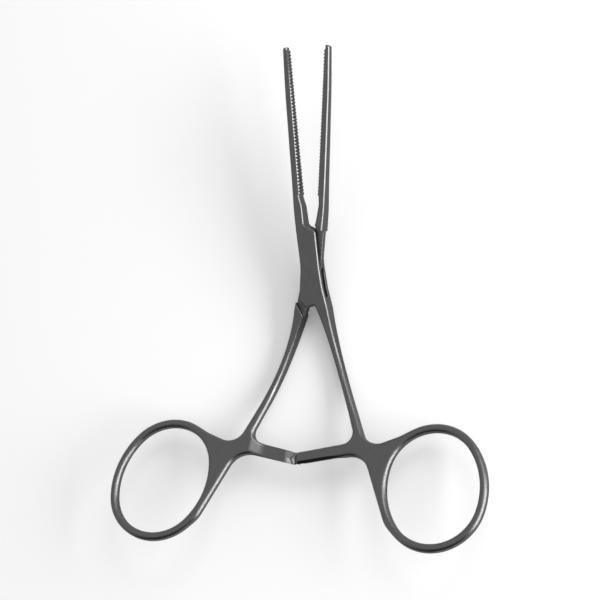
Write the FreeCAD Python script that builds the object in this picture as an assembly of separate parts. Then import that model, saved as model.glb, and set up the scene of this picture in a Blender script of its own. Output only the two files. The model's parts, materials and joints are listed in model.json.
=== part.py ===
import FreeCAD, Part
import math
import os

# Pediatric vascular clamp with a box joint, ring handles and a ratchet.
# Millimetres and degrees. The halves are drawn closed, with the hinge pin on
# the Z axis, the jaws towards +Y and the front of the clamp towards +Z.
# A jaw and a handle are each drawn on the +X side and mirrored where needed.

# Opening between the two halves
rest_opening = 9.8

# Box joint
bar_half_width = 2.76
box_depth = 5.19
waist_thickness = 2.0
slot_clearance = 0.05
side_clearance = 0.12
pin_diameter = 2.6
pin_clearance = 0.04
waist_corner_y = 0.5
waist_slope = 0.277
waist_top_y = 12.8
waist_foot_y = -10.0
box_end_y = 10.0
head_end_y = -12.0
root_half_width = 3.1
root_y = -6.0
slot_end_y = 8.7
plate_inner_x = 0.5
plate_inner_y = 12.3
plate_corner_y = 10.2
plate_foot_inner_x = 2.6
plate_foot_inner_y = -11.2
plate_foot_outer_x = 4.2
plate_foot_outer_y = -8.7
plate_crotch_x = 0.15
plate_crotch_y = -10.5
shoulder_gap = 0.4
edge_bevel = 0.3

# Jaws
jaw_tip_y = 62.9
jaw_tip_width = 1.2
jaw_root_width = 3.18
jaw_root_y = 16.7
jaw_middle_width = 2.75
jaw_middle_y = 33.9
jaw_slim_width = 2.31
jaw_slim_y = 50.8
jaw_tip_round = 0.75
jaw_heel_depth = 3.67
jaw_heel_y = 24.0
jaw_tip_depth = 2.37
neck_y = 17.8
box_neck_inset = -0.6
male_neck_inset = 0.25

# Teeth along the jaws
tooth_pitch = 0.96
tooth_height = 0.45
tooth_start_y = 20.4
tooth_end_margin = 0.6
tooth_row_width = 0.8
tooth_row_spacing = 1.15
tip_face_gap = 0.05
heel_face_gap = 0.78

# Shanks
bend_radius = 63.5
bend_angle = 27.6
shank_top_centre = 2.37
shank_top_width = 3.26
shank_waist_width = 1.78
shank_end_centre = 10.39
shank_end_width = 2.51
shank_slope = 0.176
shank_length = 30.85
shank_sections = 6
handle_bevel = 0.65

# Finger rings
ring_x = 34.75
ring_s = -66.19
ring_half_width = 14.28
ring_half_length = 17.06
ring_end_inset = 0.83
ring_tilt = 9.1
ring_band = 2.21
handle_depth = 2.54

# Web between shank, ring and ratchet arm
crotch_corner_x = 15.46
crotch_corner_s = -53.76
crotch_round = 4.8
brow_angle = 104.9
brow_length = 4.08
brow_round = 4.9
heel_angle = 211.8
heel_length = 4.08
heel_round = 8.9
elbow_x = 14.27
elbow_round = 6.1
corner_x = 11.73
corner_round = 3.3

# Ratchet arms
arm_level = -53.43
arm_height = 3.5
arm_drop = 2.04
front_arm_reach = 5.9
back_arm_reach = 4.0
arm_gap = 0.24
arm_root_x = 6.9
arm_ramp_radius = 8.0
arm_tip_round = 1.2
ratchet_pitch = 1.7
ratchet_depth = 0.5
ratchet_teeth = 2
ratchet_slant = 1.3

REACH = 200.0


def vec(x, y, z=0.0):
    return FreeCAD.Vector(x, y, z)


def mirrored(shape):
    return shape.mirror(vec(0, 0), vec(1, 0))


def rounded_path(corners, closed):
    """Straight runs through corners (x, y, radius), with tangent arcs at the corners."""
    points = [vec(x, y) for x, y, _ in corners]
    count = len(points)
    starts = []
    ends = []
    arcs = []
    for i, (_, _, radius) in enumerate(corners):
        here = points[i]
        is_end = not closed and i in (0, count - 1)
        back = (points[i - 1] - here).normalize()
        ahead = (points[(i + 1) % count] - here).normalize()
        half_angle = back.getAngle(ahead) / 2
        is_straight = half_angle > math.radians(89.7)
        if radius == 0 or is_end or is_straight:
            starts.append(here)
            ends.append(here)
            arcs.append(None)
            continue
        length = radius / math.tan(half_angle)
        middle = (back + ahead).normalize()
        centre = here + middle * (radius / math.sin(half_angle))
        first = here + back * length
        last = here + ahead * length
        starts.append(first)
        ends.append(last)
        arcs.append(Part.Arc(first, centre - middle * radius, last).toShape())
    edges = []
    for i in range(count):
        if arcs[i]:
            edges.append(arcs[i])
        if i == count - 1 and not closed:
            break
        target = starts[(i + 1) % count]
        edges.append(Part.LineSegment(ends[i], target).toShape())
    return edges


def plate(edges, low, high):
    """A flat solid over an outline, from height low to height high."""
    face = Part.Face(Part.Wire(edges))
    face.translate(vec(0, 0, low))
    return face.extrude(vec(0, 0, high - low))


def is_sharp(solid, edge):
    """True where the two faces at an edge meet at a clear angle."""
    middle = edge.valueAt((edge.FirstParameter + edge.LastParameter) / 2)
    normals = []
    for face in solid.ancestorsOfType(edge, Part.Face):
        normals.append(face.normalAt(*face.Surface.parameter(middle)))
    return len(normals) == 2 and normals[0].getAngle(normals[1]) > math.radians(25)


def rim_edges(solid, skip_y):
    """Sharp edges round the front and back faces, without those on the plane y = skip_y."""
    chosen = []
    for edge in solid.Edges:
        box = edge.BoundBox
        runs_through = box.ZMin < 0 < box.ZMax
        on_skip = abs(box.YMin - skip_y) < 1e-4 and abs(box.YMax - skip_y) < 1e-4
        if not runs_through and not on_skip and is_sharp(solid, edge):
            chosen.append(edge)
    return chosen


def face_gap(y):
    """Distance of the tooth tips from the middle plane with the jaws closed."""
    share = (jaw_tip_y - y) / (jaw_tip_y - tooth_start_y)
    return tip_face_gap + (heel_face_gap - tip_face_gap) * share


def jaw_corners(neck_inset):
    """From the outer root up to the tip and down the inner side to the neck."""
    base_tip = face_gap(jaw_tip_y) + tooth_height
    base_neck = face_gap(tooth_start_y) + tooth_height
    return [
        (jaw_root_width, jaw_root_y, 60.0),
        (jaw_middle_width, jaw_middle_y, 200.0),
        (jaw_slim_width, jaw_slim_y, 150.0),
        (base_tip + jaw_tip_width, jaw_tip_y, jaw_tip_round),
        (base_tip, jaw_tip_y, 0),
        (base_neck, tooth_start_y, 8.0),
        (base_neck + neck_inset, neck_y, 6.0),
    ]


def side_profile():
    """Depth of the head seen from the side: full at the box, slim along the jaw."""
    half = box_depth / 2
    heel = jaw_heel_depth / 2
    tip = jaw_tip_depth / 2
    upper = [
        (head_end_y, half, 0),
        (box_end_y, half, 25.0),
        (jaw_heel_y, heel, 40.0),
        (jaw_tip_y, tip, 0),
    ]
    lower = [(y, -z, r) for y, z, r in reversed(upper)]
    outline = rounded_path(upper + lower, closed=True)
    solid = plate(outline, -REACH, REACH)
    solid.rotate(vec(0, 0), vec(1, 1, 1), 120)
    return solid


def head(corners):
    """Jaw, box part and shank root, cut from a flat outline by the side profile.

    The corners have the jaw on the +X side, and the result has it on the -X side.
    """
    outline = rounded_path(corners, closed=True)
    flat = plate(outline, -box_depth, box_depth)
    solid = flat.common(side_profile()).Solids[0]
    return mirrored(solid.makeChamfer(edge_bevel, rim_edges(solid, head_end_y)))


def shank_root_corners():
    inner = shank_top_centre - shank_top_width / 2
    outer = shank_top_centre + shank_top_width / 2
    return [(-root_half_width, root_y, 20.0), (-outer, head_end_y, 0), (-inner, head_end_y, 0)]


def waist_x(y):
    """The left side of the waist, a slanted line from its lower corner up to the neck."""
    return -bar_half_width + waist_slope * (y + waist_corner_y)


def waisted_head():
    return head(jaw_corners(male_neck_inset) + [
        (waist_x(waist_top_y), waist_top_y, 3.0),
        (-bar_half_width, -waist_corner_y, 2.0),
    ] + shank_root_corners() + [
        (-waist_x(-waist_foot_y), waist_foot_y, 2.0),
        (bar_half_width, waist_corner_y, 2.0),
    ])


def boxed_head():
    return head(jaw_corners(box_neck_inset) + [
        (plate_inner_x, plate_inner_y, 1.2),
        (-bar_half_width, plate_corner_y, 1.0),
        (-bar_half_width, 0, 20.0),
    ] + shank_root_corners() + [
        (-plate_crotch_x, plate_crotch_y, 0.6),
        (plate_foot_inner_x, plate_foot_inner_y, 0.6),
        (plate_foot_outer_x, plate_foot_outer_y, 0.8),
        (bar_half_width, waist_corner_y, 20.0),
    ])


def slot():
    """Room for the waist, milled in from both sides and closed beyond slot_end_y."""
    offset = side_clearance * math.hypot(1, waist_slope)
    far = (waist_x(REACH) - offset, REACH)
    corner = (waist_x(slot_end_y) - offset, slot_end_y)
    side = [far, corner, (-REACH, slot_end_y)]
    corners = side + [(-x, -y) for x, y in side]
    outline = rounded_path([(x, y, 0) for x, y in corners], closed=True)
    height = waist_thickness / 2 + slot_clearance
    return plate(outline, -height, height)


def pin_hole(clearance):
    radius = pin_diameter / 2 + clearance
    return Part.makeCylinder(radius, box_depth, vec(0, 0, -box_depth / 2))


def edge_line(inner, outer, gap):
    """A long run through two plate corners, moved away from the pin by gap."""
    along = (outer - inner).normalize()
    away = vec(-along.y, along.x)
    if away.dot(inner) < 0:
        away = -away
    middle = inner + away * gap
    return [middle - along * REACH, middle + along * REACH]


def shoulder_cutter():
    """Thins the male half to its waist where the plates of the box half cover it."""
    top = edge_line(vec(-plate_inner_x, plate_inner_y), vec(bar_half_width, plate_corner_y), shoulder_gap)
    foot = edge_line(
        vec(-plate_foot_inner_x, plate_foot_inner_y),
        vec(-plate_foot_outer_x, plate_foot_outer_y),
        shoulder_gap,
    )
    corners = [(p.x, p.y, 0) for p in top + foot]
    outline = rounded_path(corners, closed=True)
    front = plate(outline, waist_thickness / 2, box_depth)
    back = plate(outline, -box_depth, -waist_thickness / 2)
    return front.fuse(back)


def tooth_rows(phase):
    """Two rows of fine teeth on the inner side of a jaw drawn on the +X side."""
    end_y = jaw_tip_y - tooth_end_margin
    count = int((end_y - tooth_start_y) / tooth_pitch)
    root = tooth_height * 1.2
    points = []
    for i in range(count):
        start = tooth_start_y + (i + phase) * tooth_pitch
        middle = start + tooth_pitch / 2
        points.append((face_gap(start) + tooth_height, start, 0))
        points.append((face_gap(middle), middle, 0))
    last = tooth_start_y + (count + phase) * tooth_pitch
    points.append((face_gap(last) + tooth_height, last, 0))
    points.append((face_gap(last) + tooth_height + root, last, 0))
    first = tooth_start_y + phase * tooth_pitch
    points.append((face_gap(first) + tooth_height + root, first, 0))
    outline = rounded_path(points, closed=True)
    rows = []
    for side in (-1, 1):
        centre = side * tooth_row_spacing / 2
        rows.append(plate(outline, centre - tooth_row_width / 2, centre + tooth_row_width / 2))
    return rows


def section(centre, width, depth, bevel):
    """Bevelled rectangle in the XZ plane, the cross section of a shank."""
    half = width / 2
    high = depth / 2
    quarter = [(half, high - bevel), (half - bevel, high)]
    points = quarter + [(-x, z) for x, z in reversed(quarter)]
    points += [(-x, -z) for x, z in points]
    corners = [vec(centre + x, 0, z) for x, z in points]
    return Part.makePolygon(corners + corners[:1])


def end_wire(solid, y):
    """Outline of the flat face that closes a solid at y."""
    for face in solid.Faces:
        box = face.BoundBox
        if abs(box.YMin - y) < 1e-4 and abs(box.YMax - y) < 1e-4:
            return face.OuterWire


def on_bend(shape, distance):
    """Moves a shape from the XZ plane to a distance along the bent shank."""
    turned = min(distance / bend_radius, math.radians(bend_angle))
    straight = distance - turned * bend_radius
    y = head_end_y - bend_radius * math.sin(turned) - straight * math.cos(turned)
    z = bend_radius * (1 - math.cos(turned)) + straight * math.sin(turned)
    moved = shape.copy()
    moved.rotate(vec(0, 0), vec(1, 0), -math.degrees(turned))
    moved.translate(vec(0, y, z))
    return moved


def shank(top, flat):
    """A loft down the bend, from the end of a head to the end of a flat handle."""
    spread = shank_end_centre - shank_top_centre - shank_slope * shank_length
    wires = [end_wire(top, head_end_y)]
    for i in range(1, shank_sections - 1):
        share = i / (shank_sections - 1)
        distance = share * shank_length
        centre = shank_top_centre + shank_slope * distance + spread * share * share
        even = shank_top_width + (shank_end_width - shank_top_width) * share
        middle = (shank_top_width + shank_end_width) / 2
        width = even - (middle - shank_waist_width) * math.sin(math.pi * share ** 0.8)
        depth = box_depth + (handle_depth - box_depth) * share ** 0.8
        bevel = edge_bevel + (handle_bevel - edge_bevel) * share
        wires.append(on_bend(section(centre, width, depth, bevel), distance))
    wires.append(on_handle(end_wire(flat, head_end_y - shank_length)))
    return Part.makeLoft(wires, True, False)


def on_handle(shape):
    """Moves a flat handle drawing (x, distance along, height) to the bent handle."""
    moved = shape.copy()
    moved.translate(vec(0, shank_length - head_end_y))
    turned = math.radians(bend_angle)
    straight = shank_length - turned * bend_radius
    y = head_end_y - bend_radius * math.sin(turned) - straight * math.cos(turned)
    z = bend_radius * (1 - math.cos(turned)) + straight * math.sin(turned)
    moved.rotate(vec(0, 0), vec(1, 0), -bend_angle)
    moved.translate(vec(0, y, z))
    return moved


def ring_arcs(offset, start, end):
    """Tangent arcs of the oval ring, moved out by offset, between two outward directions."""
    end_radius = ring_half_width - ring_end_inset
    end_y = ring_half_length - end_radius
    side_radius = (ring_half_width ** 2 + end_y ** 2 - end_radius ** 2) / (2 * ring_end_inset)
    side_x = side_radius - ring_half_width
    join = math.degrees(math.atan2(end_y, side_x))
    edges = []
    for half_turn in range(-1, 3):
        base = 180 * half_turn
        sign = (-1) ** half_turn
        arcs = [
            (vec(-side_x * sign, 0), side_radius, base - join, base + join),
            (vec(0, end_y * sign), end_radius, base + join, base + 180 - join),
        ]
        for centre, radius, first, last in arcs:
            low = math.radians(max(first, start))
            high = math.radians(min(last, end))
            if high - low < 1e-6:
                continue
            edge = Part.Circle(centre, vec(0, 0, 1), radius + offset).toShape(low, high)
            edge.rotate(vec(0, 0), vec(0, 0, 1), ring_tilt)
            edge.translate(vec(ring_x, ring_s))
            edges.append(edge)
    return edges


def web_path(outer, reach):
    """From the start of the outer ring arcs round the arm and the shank to their end."""
    first = outer[0]
    last = outer[-1]
    heel = first.valueAt(first.FirstParameter)
    heel_corner = heel - first.tangentAt(first.FirstParameter) * heel_length
    brow = last.valueAt(last.LastParameter)
    brow_corner = brow + last.tangentAt(last.LastParameter) * brow_length
    top = arm_level + arm_height / 2
    bottom = arm_level - arm_height / 2
    join_s = head_end_y - shank_length
    return rounded_path([
        (heel.x, heel.y, 0),
        (heel_corner.x, heel_corner.y, heel_round),
        (elbow_x, bottom, elbow_round),
        (-reach, bottom - arm_drop, arm_tip_round),
        (-reach, top - arm_drop, arm_tip_round),
        (corner_x, top, corner_round),
        (shank_end_centre - shank_end_width / 2, join_s, 0),
        (shank_end_centre + shank_end_width / 2, join_s, 0),
        (crotch_corner_x, crotch_corner_s, crotch_round),
        (brow_corner.x, brow_corner.y, brow_round),
        (brow.x, brow.y, 0),
    ], closed=False)


def handle_flat(side):
    """Shank end, web, ring and ratchet arm, cut down to the front (1) or back (-1) half."""
    join_s = head_end_y - shank_length
    reach = front_arm_reach if side > 0 else back_arm_reach
    outer = ring_arcs(ring_band / 2, heel_angle - 360, brow_angle)
    solid = plate(outer + web_path(outer, reach), -handle_depth / 2, handle_depth / 2)
    solid = solid.cut(plate(ring_arcs(-ring_band / 2, 0, 360), -handle_depth, handle_depth))
    solid = solid.makeChamfer(handle_bevel, rim_edges(solid, join_s))
    solid = solid.cut(ratchet_cutter(side))
    return solid.cut(ratchet_grooves(side, reach))


def ratchet_cutter(side):
    """Removes half of the arm's depth behind a ramp, for the front (1) or back (-1) arm."""
    low = -side * handle_depth
    face = side * arm_gap / 2
    ramp_end = arm_root_x + arm_ramp_radius
    corners = [
        (-REACH, face, 0),
        (arm_root_x, face, arm_ramp_radius),
        (ramp_end, low, 0),
        (-REACH, low, 0),
    ]
    outline = rounded_path(corners, closed=True)
    solid = plate(outline, -arm_height * 1.5, arm_height * 1.5)
    solid.rotate(vec(0, 0), vec(1, 0), 90)
    solid.translate(vec(0, arm_level))
    return solid


def ratchet_grooves(side, reach):
    """V grooves bent like arrowheads across the inner face near the arm's end."""
    face = side * arm_gap / 2
    grooves = []
    for i in range(ratchet_teeth):
        left = -reach + (i + 0.3) * ratchet_pitch
        tip = (left + ratchet_pitch * 0.35, face + side * ratchet_depth)
        for way in (-1, 1):
            corners = [
                vec(left, arm_level - arm_drop, face),
                vec(tip[0], arm_level - arm_drop, tip[1]),
                vec(left + ratchet_pitch, arm_level - arm_drop, face),
            ]
            wire = Part.makePolygon(corners + corners[:1])
            half = arm_height * 0.7
            grooves.append(Part.Face(wire).extrude(vec(-ratchet_slant, way * half, 0)))
    return grooves


def opened(shape, share):
    """Turns a closed half about the pin by its share of the opening at rest."""
    moved = shape.copy()
    moved.rotate(vec(0, 0), vec(0, 0, 1), share * rest_opening)
    return moved


def half(front, phase, side):
    """A head with its teeth, shank and handle, the jaw on -X and the ring on +X."""
    back = handle_flat(side)
    solid = front.fuse([mirrored(row) for row in tooth_rows(phase)])
    return solid.fuse([shank(front, back), on_handle(back)])


def male_half():
    """Jaw on the right, thin waist through the box, handle on the left with the back arm."""
    solid = mirrored(half(waisted_head(), 0.0, -1))
    solid = solid.cut(shoulder_cutter())
    return solid.cut(pin_hole(pin_clearance))


def box_half():
    """Jaw on the left, slotted box, handle on the right with the front arm."""
    solid = half(boxed_head(), 0.5, 1).cut(slot())
    return solid.cut(pin_hole(0))


def lying(nodes):
    """Rolls the clamp onto the curved backs of its shanks, where it balances."""
    solids = [solid for shape in nodes.values() for solid in shape.Solids]
    total = sum(solid.Volume for solid in solids)
    centre = vec(0, 0)
    for solid in solids:
        centre += solid.CenterOfMass * (solid.Volume / total)
    roll = math.degrees(math.atan2(head_end_y - centre.y, bend_radius - centre.z))
    turned = {}
    for name, shape in nodes.items():
        moved = shape.copy()
        moved.rotate(vec(0, 0), vec(1, 0), roll)
        turned[name] = moved
    box = Part.makeCompound(list(turned.values())).optimalBoundingBox(False, False)
    offset = vec(-(box.XMin + box.XMax) / 2, -(box.YMin + box.YMax) / 2, -box.ZMin)
    for shape in turned.values():
        shape.translate(offset)
    print("roll", round(roll, 4), "pin centre", [round(v, 4) for v in offset])
    return turned


nodes = lying({
    "box_half": opened(box_half(), 0.5),
    "male_half": opened(male_half(), -0.5),
    "lock_pin": pin_hole(0),
})

os.makedirs("parts", exist_ok=True)
for name, shape in nodes.items():
    print(name, shape.isValid(), len(shape.Solids), round(shape.Volume, 2))
    shape.exportStep("parts/" + name + ".step")
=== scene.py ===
import json
from math import radians

import bmesh
import bpy
from mathutils import Matrix, Vector


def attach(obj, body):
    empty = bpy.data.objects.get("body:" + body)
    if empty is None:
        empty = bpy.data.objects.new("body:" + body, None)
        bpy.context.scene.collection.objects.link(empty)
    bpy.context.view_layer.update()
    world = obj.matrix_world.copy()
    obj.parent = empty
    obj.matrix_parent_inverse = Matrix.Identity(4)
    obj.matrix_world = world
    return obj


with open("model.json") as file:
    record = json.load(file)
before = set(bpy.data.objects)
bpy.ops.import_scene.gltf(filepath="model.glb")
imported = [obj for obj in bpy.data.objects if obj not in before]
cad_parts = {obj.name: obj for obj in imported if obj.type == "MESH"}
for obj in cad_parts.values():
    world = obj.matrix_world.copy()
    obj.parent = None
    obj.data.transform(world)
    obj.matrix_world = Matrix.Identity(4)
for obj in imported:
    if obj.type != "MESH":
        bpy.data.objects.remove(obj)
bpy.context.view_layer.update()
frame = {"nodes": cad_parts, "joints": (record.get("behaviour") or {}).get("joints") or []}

# Place of the clamp: the hinge pin stands square to the front face, and the
# clamp lies with that face tipped towards the handles. Lengths are in metres.
hinge = frame["joints"][0]
pin_centre = Vector(hinge["pos_m"])
front = -Vector(hinge["axis"]).normalized()
across = Vector((1, 0, 0))
towards_tips = front.cross(across)
clamp_axes = Matrix((across, towards_tips, front)).transposed()

# Camera, as turned from square on to the front face
view_yaw = radians(21.53)
view_pitch = radians(2.28)
view_roll = radians(-1.45)
view_distance = 0.5135
view_target = Vector((-0.00414, -0.00917, 0))
lens = 108
sensor = 36
view_near = 0.01
view_far = 20

# Steel
steel_colour = (0.155, 0.156, 0.159, 1)
steel_edge_tint = (0.4, 0.4, 0.4, 1)
head_roughness = 0.36
handle_roughness = 0.25
grain_scale = 9000
grain_detail = 3
grain_spread = 0.05
grain_strength = 0.12
grain_height = 0.00002
streak_scale = (1800, 160, 1800)
streak_detail = 4
streak_low = 0.3
streak_high = 0.7
streak_dark = 0.94
streak_light = 1.06

# Rounded edges. The head ends and the handles begin between round_start and
# round_end below the pin.
jaw_rounding = 0.00012
head_rounding = 0.0003
handle_rounding = 0.0011
rounding_samples = 8
round_start = 0.010
round_end = 0.022
pin_clear = 0.0032
pin_round = 0.00352

# Ratchet, and the painted highlight that brightens its tooth facets: their place below the pin and
# across, each with the width of its fade
ratchet_half_span = 0.008
ratchet_full_span = 0.0128
ratchet_start = 0.03
ratchet_highlight_full = 0.033
ratchet_crisp_full = 0.039
# Painted highlight: where the ratchet's tooth facets catch the lamp, the steel's base colour is
# painted brighter, up to the gain below
highlight_left_start = -0.005
highlight_left_full = -0.0045
highlight_right_full = -0.0012
highlight_right_end = -0.001
painted_highlight_gain = 2.0

# Floor
floor_colour = (0.86, 0.86, 0.86, 1)
floor_lift = 0.17
floor_lift_colour = (1, 1, 1, 1)
floor_roughness = 0.9
floor_gloss = 0.1
floor_size = 6

# Light
sky_colour = (1, 1, 1, 1)
sky_level = 0.6
sky_dark_level = 0.02
sky_side_start = -0.35
sky_side_full = -0.7
sky_low_start = 0.95
sky_low_full = 0.7
lamps = {
    "right": {"place": (0.9, 0.06, 0.38), "size": (1.1, 0.4), "power": 11.5},
    "high": {"place": (0.36, 0.62, 0.7), "size": (0.4, 0.4), "power": 1.6},
}

# Teeth along the jaws, with a jaw drawn on the +X side of the closed clamp
rest_opening = radians(9.8)
tooth_pitch = 0.00096
tooth_height = 0.00045
tooth_start_y = 0.0204
tooth_count = 43
jaw_tip_y = 0.0629
tip_face_gap = 0.00005
heel_face_gap = 0.00078
box_end_y = 0.010
jaw_start_y = 0.020
heel_y = 0.024
box_half_depth = 0.002595
heel_half_depth = 0.001835
tip_half_depth = 0.001185
row_start_z = 0.00095
row_inset = 0.000005
row_step = 0.00002
row_root = 0.00035
box_phase = 0.5
male_phase = 0


def make_camera():
    data = bpy.data.cameras.new("camera")
    data.lens = lens
    data.sensor_width = sensor
    data.clip_start = view_near
    data.clip_end = view_far
    camera = bpy.data.objects.new("camera", data)
    bpy.context.scene.collection.objects.link(camera)
    turn = Matrix.Rotation(view_yaw, 3, "Y")
    turn = turn @ Matrix.Rotation(-view_pitch, 3, "X")
    turn = turn @ Matrix.Rotation(view_roll, 3, "Z")
    place = clamp_axes @ (view_target + turn @ Vector((0, 0, view_distance))) + pin_centre
    camera.matrix_world = Matrix.Translation(place) @ (clamp_axes @ turn).to_4x4()
    bpy.context.scene.camera = camera


def node(tree, kind, **sockets):
    made = tree.nodes.new(kind)
    for name, value in sockets.items():
        made.inputs[name].default_value = value
    return made


def math_node(tree, operation, first, second=0):
    """A Math node; each operand is a socket or a number."""
    made = tree.nodes.new("ShaderNodeMath")
    made.operation = operation
    for i, value in enumerate((first, second)):
        if isinstance(value, (int, float)):
            made.inputs[i].default_value = value
        else:
            tree.links.new(value, made.inputs[i])
    return made.outputs["Value"]


def product(tree, *factors):
    made = factors[0]
    for factor in factors[1:]:
        made = math_node(tree, "MULTIPLY", made, factor)
    return made


def vector_node(tree, operation, socket, constant):
    """A Vector Math node between a socket and a vector that stays the same."""
    made = tree.nodes.new("ShaderNodeVectorMath")
    made.operation = operation
    tree.links.new(socket, made.inputs[0])
    made.inputs[1].default_value = constant
    return made.outputs


def ramp(tree, value, low, high, to_low=0.0, to_high=1.0):
    """Maps a socket's value from low..high to to_low..to_high, held level outside."""
    made = node(tree, "ShaderNodeMapRange", **{
        "From Min": low, "From Max": high, "To Min": to_low, "To Max": to_high})
    tree.links.new(value, made.inputs["Value"])
    return made.outputs["Result"]


def along(tree, place, direction):
    """Distance from the hinge pin along a direction of the clamp."""
    moved = vector_node(tree, "SUBTRACT", place, pin_centre)["Vector"]
    return vector_node(tree, "DOT_PRODUCT", moved, direction)["Value"]


def paint_ratchet_highlight(tree, down, aside):
    """Painted highlight: brighter base colour on the ratchet's tooth facets, standing in for the
    lamp's glint on them.
    """
    on_handle = ramp(tree, down, ratchet_start, ratchet_highlight_full)
    right_of = ramp(tree, aside, highlight_left_start, highlight_left_full)
    left_of = ramp(tree, aside, highlight_right_end, highlight_right_full)
    share = product(tree, right_of, left_of, on_handle)
    return ramp(tree, share, 0, 1, 1, painted_highlight_gain)


def edge_radius(tree, place, down):
    """How round the edges are: crisp on the jaws, the pin and the ratchet, full on the handles."""
    aside = math_node(tree, "ABSOLUTE", along(tree, place, across))
    off_ratchet = ramp(tree, aside, ratchet_half_span, ratchet_full_span)
    above_ratchet = ramp(tree, down, ratchet_start, ratchet_crisp_full, 1, 0)
    clear = math_node(tree, "MAXIMUM", off_ratchet, above_ratchet)
    from_pin = vector_node(tree, "DISTANCE", place, pin_centre)["Value"]
    off_pin = ramp(tree, from_pin, pin_clear, pin_round)
    on_head = ramp(tree, down, -heel_y, -jaw_start_y, jaw_rounding, head_rounding)
    on_handle = ramp(tree, down, round_start, round_end, 0, handle_rounding - head_rounding)
    return product(tree, math_node(tree, "ADD", on_head, on_handle), clear, off_pin)


def steel(name):
    """Satin stainless steel with a fine grain, streaks along the clamp, a painted highlight on the
    ratchet's tooth facets and rounded edges.
    """
    material = bpy.data.materials.new(name)
    material.use_nodes = True
    tree = material.node_tree
    shader = tree.nodes["Principled BSDF"]
    shader.inputs["Metallic"].default_value = 1
    shader.inputs["Specular Tint"].default_value = steel_edge_tint
    place = node(tree, "ShaderNodeTexCoord").outputs["Object"]
    down = product(tree, along(tree, place, towards_tips), -1)

    grain = node(tree, "ShaderNodeTexNoise", Scale=grain_scale, Detail=grain_detail)
    tree.links.new(place, grain.inputs["Vector"])
    satin = ramp(tree, down, round_start, round_end, head_roughness, handle_roughness)
    speckle = ramp(tree, grain.outputs["Fac"], 0, 1, -grain_spread, grain_spread)
    tree.links.new(math_node(tree, "ADD", satin, speckle), shader.inputs["Roughness"])

    stretched = node(tree, "ShaderNodeMapping", Scale=streak_scale)
    tree.links.new(place, stretched.inputs["Vector"])
    streaks = node(tree, "ShaderNodeTexNoise", Scale=1, Detail=streak_detail)
    tree.links.new(stretched.outputs["Vector"], streaks.inputs["Vector"])
    shade = ramp(tree, streaks.outputs["Fac"], streak_low, streak_high, streak_dark, streak_light)
    # Painted highlight on the ratchet's tooth facets, multiplied into the base colour together
    # with the streaks
    glint = paint_ratchet_highlight(tree, down, along(tree, place, across))
    tone = tree.nodes.new("ShaderNodeMix")
    tone.data_type = "RGBA"
    tone.blend_type = "MULTIPLY"
    tone.inputs["Factor"].default_value = 1
    tone.inputs["A"].default_value = steel_colour
    tree.links.new(product(tree, shade, glint), tone.inputs["B"])
    tree.links.new(tone.outputs["Result"], shader.inputs["Base Color"])

    rounding = tree.nodes.new("ShaderNodeBevel")
    rounding.samples = rounding_samples
    tree.links.new(edge_radius(tree, place, down), rounding.inputs["Radius"])
    bump = node(tree, "ShaderNodeBump", Strength=grain_strength, Distance=grain_height)
    tree.links.new(grain.outputs["Fac"], bump.inputs["Height"])
    tree.links.new(rounding.outputs["Normal"], bump.inputs["Normal"])
    tree.links.new(bump.outputs["Normal"], shader.inputs["Normal"])
    return material


def dress(name, material):
    piece = frame["nodes"][name]
    piece.data.materials.clear()
    piece.data.materials.append(material)


def face_gap(y):
    """Distance of the tooth tips from the middle plane with the jaws closed."""
    share = (jaw_tip_y - y) / (jaw_tip_y - tooth_start_y)
    return tip_face_gap + (heel_face_gap - tip_face_gap) * share


def half_depth(y):
    """Half of a jaw's depth, which tapers from the box to the heel and on to the tip."""
    if y < heel_y:
        share = (y - box_end_y) / (heel_y - box_end_y)
        return box_half_depth + (heel_half_depth - box_half_depth) * share
    share = (y - heel_y) / (jaw_tip_y - heel_y)
    return heel_half_depth + (tip_half_depth - heel_half_depth) * share


def edge_teeth(name, body, side, phase, material):
    """The outer ends of a jaw's two tooth rows, which reach its front and back face."""
    mesh = bmesh.new()
    turn = Matrix.Rotation(-side * rest_opening / 2, 3, "Z")

    def corner(x, y, z):
        return mesh.verts.new(clamp_axes @ (turn @ Vector((side * x, y, z))) + pin_centre)

    for way in (-1, 1):
        for i in range(tooth_count):
            low = tooth_start_y + (i + phase) * tooth_pitch
            rings = []
            for share in (0, 0.5, 1):
                y = low + share * tooth_pitch
                rise = tooth_height if share == 0.5 else 0
                root = face_gap(y) + tooth_height
                end = half_depth(y) - row_inset
                tip = root + row_inset - rise
                low_end = max(end - rise - row_step, row_start_z + row_step)
                rings.append([
                    corner(root + row_root, y, way * row_start_z),
                    corner(tip, y, way * row_start_z),
                    corner(tip, y, way * low_end),
                    corner(root + row_step, y, way * end),
                    corner(root + row_root, y, way * end),
                ])
            for first, second in zip(rings, rings[1:]):
                for k in range(len(first)):
                    mesh.faces.new([first[k], first[k - 1], second[k - 1], second[k]])
            mesh.faces.new(rings[0])
            mesh.faces.new(rings[-1][::-1])
    bmesh.ops.recalc_face_normals(mesh, faces=mesh.faces)
    data = bpy.data.meshes.new(name)
    mesh.to_mesh(data)
    mesh.free()
    piece = bpy.data.objects.new(name, data)
    bpy.context.scene.collection.objects.link(piece)
    data.materials.append(material)
    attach(piece, body)


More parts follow.
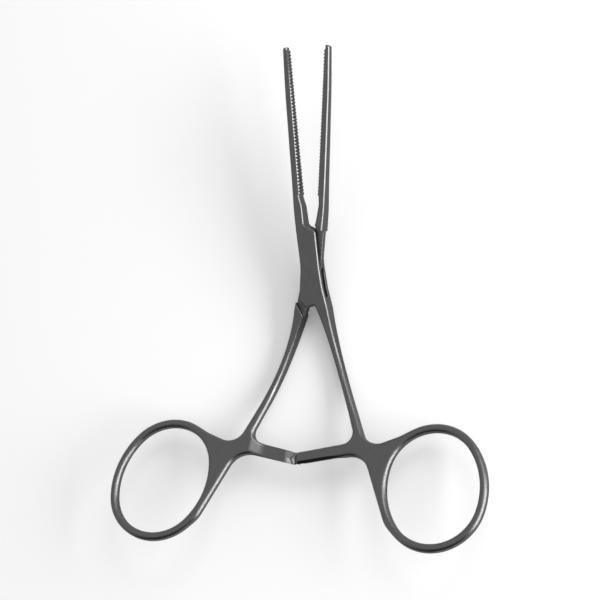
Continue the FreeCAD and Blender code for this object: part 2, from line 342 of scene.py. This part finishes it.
def floor_material():
    """Pale paper, lifted a little for what looks at it, so that it is white round the shadow."""
    material = bpy.data.materials.new("floor")
    material.use_nodes = True
    tree = material.node_tree
    shader = tree.nodes["Principled BSDF"]
    shader.inputs["Base Color"].default_value = floor_colour
    shader.inputs["Roughness"].default_value = floor_roughness
    shader.inputs["Specular IOR Level"].default_value = floor_gloss
    shader.inputs["Emission Color"].default_value = floor_lift_colour
    rays = tree.nodes.new("ShaderNodeLightPath").outputs
    seen = math_node(tree, "ADD", rays["Is Camera Ray"], rays["Is Glossy Ray"])
    seen = math_node(tree, "ADD", seen, rays["Is Transmission Ray"])
    tree.links.new(product(tree, seen, floor_lift), shader.inputs["Emission Strength"])
    return material


def make_floor():
    bpy.ops.mesh.primitive_plane_add(size=floor_size, location=(0, 0, 0))
    floor = bpy.context.object
    floor.name = "floor"
    floor.data.materials.append(floor_material())


def make_lamp(name, place, size, power):
    data = bpy.data.lights.new(name, "AREA")
    data.shape = "RECTANGLE"
    data.size, data.size_y = size
    data.energy = power
    lamp = bpy.data.objects.new(name, data)
    bpy.context.scene.collection.objects.link(lamp)
    lamp.location = place
    lamp.rotation_euler = (-Vector(place)).to_track_quat("-Z", "Y").to_euler()


def make_light():
    """An even pale room, darker low down at the handles' side, and soft lamps on the right."""
    world = bpy.data.worlds.new("world")
    world.use_nodes = True
    tree = world.node_tree
    split = tree.nodes.new("ShaderNodeSeparateXYZ")
    place = node(tree, "ShaderNodeTexCoord").outputs["Generated"]
    tree.links.new(place, split.inputs["Vector"])
    handle_side = ramp(tree, split.outputs["Y"], sky_side_start, sky_side_full)
    low_down = ramp(tree, split.outputs["Z"], sky_low_start, sky_low_full)
    share = product(tree, handle_side, low_down)
    level = ramp(tree, share, 0, 1, sky_level, sky_dark_level)
    background = tree.nodes["Background"]
    background.inputs["Color"].default_value = sky_colour
    tree.links.new(level, background.inputs["Strength"])
    bpy.context.scene.world = world
    for name, values in lamps.items():
        make_lamp(name, **values)


bpy.context.scene.view_settings.view_transform = "Standard"
make_camera()
steel_finish = steel("steel")
dress("box_half", steel_finish)
dress("male_half", steel_finish)
dress("lock_pin", steel("pin_steel"))
edge_teeth("box_jaw_edge_teeth", "box_body", -1, box_phase, steel_finish)
edge_teeth("male_jaw_edge_teeth", "male_body", 1, male_phase, steel_finish)
make_floor()
make_light()
